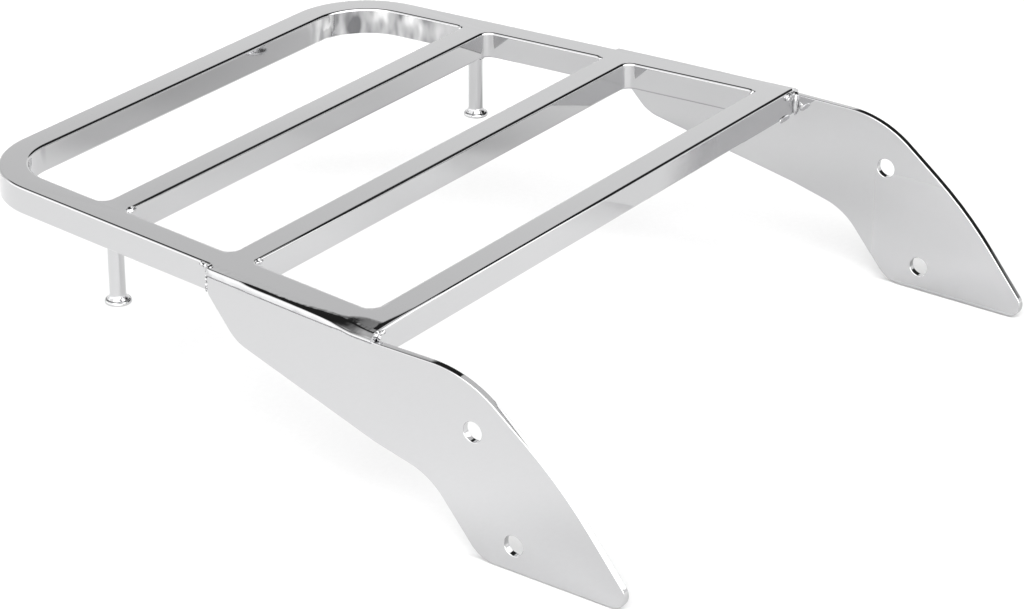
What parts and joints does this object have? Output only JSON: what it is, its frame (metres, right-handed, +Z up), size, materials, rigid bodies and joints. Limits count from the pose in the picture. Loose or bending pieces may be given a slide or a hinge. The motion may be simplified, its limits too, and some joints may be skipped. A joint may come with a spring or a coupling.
{
  "type": "motorcycle luggage rack",
  "caption": "Chromed luggage rack: a hoop of square bar with crossbars, on two shaped side plates that bolt beside the rear mudguard, with short posts under its tail",
  "frame": {"origin": "centre of the middle crossbar's top face, which is the middle of the deck's width", "axes": "+X to the rider's right, +Y to the rear, towards the closed end of the hoop, +Z up from the deck; the mounting plates point forward along -Y"},
  "size_m": [0.3156, 0.3631, 0.0824],
  "materials": {
    "chromed_bar": "polished chrome plate",
    "chromed_plate": "polished chrome plate",
    "chromed_post": "polished chrome plate",
    "chromed_weld": "chrome over a weld bead"
  },
  "bodies": {
    "root": {"front_crossbar": "chromed_bar", "hoop": "chromed_bar", "left_front_bead_behind": "chromed_weld", "left_front_weld": "chromed_weld", "left_middle_bead_ahead": "chromed_weld", "left_middle_bead_behind": "chromed_weld", "left_mounting_plate": "chromed_plate", "left_post": "chromed_post", "left_post_weld": "chromed_weld", "left_rear_bead_ahead": "chromed_weld", "left_rear_bead_behind": "chromed_weld", "left_seam_weld": "chromed_weld", "left_tail_weld": "chromed_weld", "middle_crossbar": "chromed_bar", "rear_crossbar": "chromed_bar", "right_front_bead_behind": "chromed_weld", "right_front_weld": "chromed_weld", "right_middle_bead_ahead": "chromed_weld", "right_middle_bead_behind": "chromed_weld", "right_mounting_plate": "chromed_plate", "right_post": "chromed_post", "right_post_weld": "chromed_weld", "right_rear_bead_ahead": "chromed_weld", "right_rear_bead_behind": "chromed_weld", "right_seam_weld": "chromed_weld", "right_tail_weld": "chromed_weld"}
  },
  "joints": []
}
